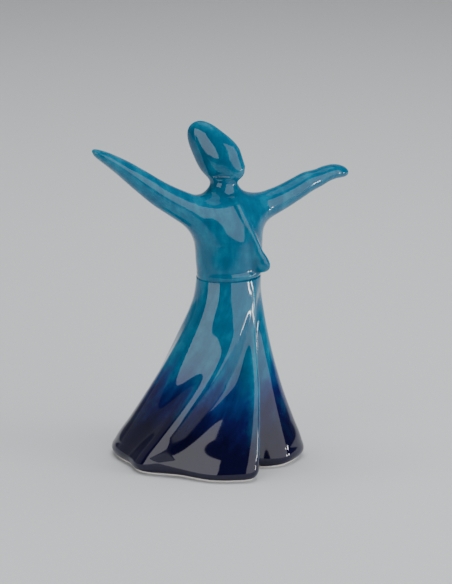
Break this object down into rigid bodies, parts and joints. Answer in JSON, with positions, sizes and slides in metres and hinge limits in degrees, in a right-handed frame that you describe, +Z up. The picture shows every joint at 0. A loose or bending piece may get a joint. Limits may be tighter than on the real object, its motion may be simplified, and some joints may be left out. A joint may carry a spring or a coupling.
{
  "type": "ceramic figurine",
  "caption": "Glazed ceramic figurine of a faceless whirling dervish: arms raised, tall cap tilted, short jacket with a flared front edge, and a wide skirt turning in spiral folds.",
  "frame": {"origin": "centre of the bounding box on the floor plane, under the foot of the skirt", "axes": "+Z up, the chest faces -Y, the figure's right arm points along -X and its left arm along +X"},
  "size_m": [0.1311, 0.0845, 0.1554],
  "materials": {
    "cobalt_glaze": "gloss",
    "turquoise_glaze": "gloss",
    "bare_clay": "matt",
    "slip": "matt"
  },
  "bodies": {
    "root": {"skirt_casting": "cobalt_glaze", "bare_foot_ring": "bare_clay", "waist_slip_seam": "slip", "jacket_casting": "turquoise_glaze", "jacket_front_edge": "turquoise_glaze", "neck_slip_seam": "slip", "head_casting": "turquoise_glaze", "right_shoulder_slip_seam": "slip", "right_arm_casting": "turquoise_glaze", "left_shoulder_slip_seam": "slip", "left_arm_casting": "turquoise_glaze"}
  },
  "joints": []
}
